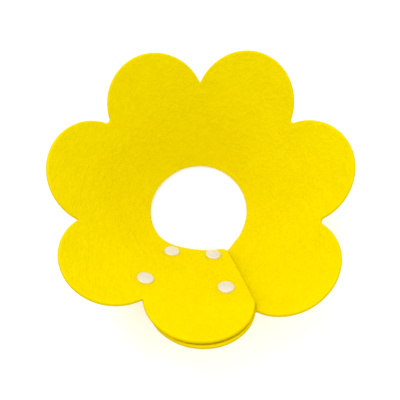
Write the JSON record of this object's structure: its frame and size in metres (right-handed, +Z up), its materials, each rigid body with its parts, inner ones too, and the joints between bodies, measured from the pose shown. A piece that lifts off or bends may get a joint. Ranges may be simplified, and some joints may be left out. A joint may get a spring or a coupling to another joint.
{
  "type": "elizabethan collar",
  "caption": "Soft felt recovery collar with a petal outline, rolled into a shallow bowl round the neck opening, its lapped ends closed by press snaps.",
  "frame": {"origin": "centre of the neck opening, on the plane that the neck edge rests on", "axes": "+Z up, along the neck opening's axis towards the open side of the bowl; -Y towards the middle of the petal with the closure"},
  "size_m": [0.2194, 0.2138, 0.0807],
  "materials": {
    "felt": "soft needled felt, matt with a short nap",
    "snap_cap": "smooth moulded, satin gloss",
    "snap_inner": "plain moulded"
  },
  "bodies": {
    "ring": {"collar_sheet": "felt"},
    "upper_end": {"closure_flap": "felt", "cap_neck_left": "snap_cap", "cap_neck_right": "snap_cap", "cap_outer_left": "snap_cap", "cap_outer_right": "snap_cap", "socket_neck_left": "snap_inner", "socket_neck_right": "snap_inner", "socket_outer_left": "snap_inner", "socket_outer_right": "snap_inner"},
    "lower_end": {"under_flap": "felt", "stud_neck_left": "snap_inner", "stud_neck_right": "snap_inner", "stud_outer_left": "snap_inner", "stud_outer_right": "snap_inner", "back_cap_neck_left": "snap_cap", "back_cap_neck_right": "snap_cap", "back_cap_outer_left": "snap_cap", "back_cap_outer_right": "snap_cap"}
  },
  "joints": [
    {"name": "flap_fold", "type": "hinge", "parent": "ring", "child": "upper_end", "pos_m": [-0.03318, -0.01994, 0.00169], "axis": [-0.5954, -0.3578, 0.7193], "range_deg": [0, 75]},
    {"name": "under_fold", "type": "hinge", "parent": "ring", "child": "lower_end", "pos_m": [0.02712, -0.0312, -0.00086], "axis": [0.4557, -0.5243, 0.7193], "range_deg": [0, 25]}
  ]
}
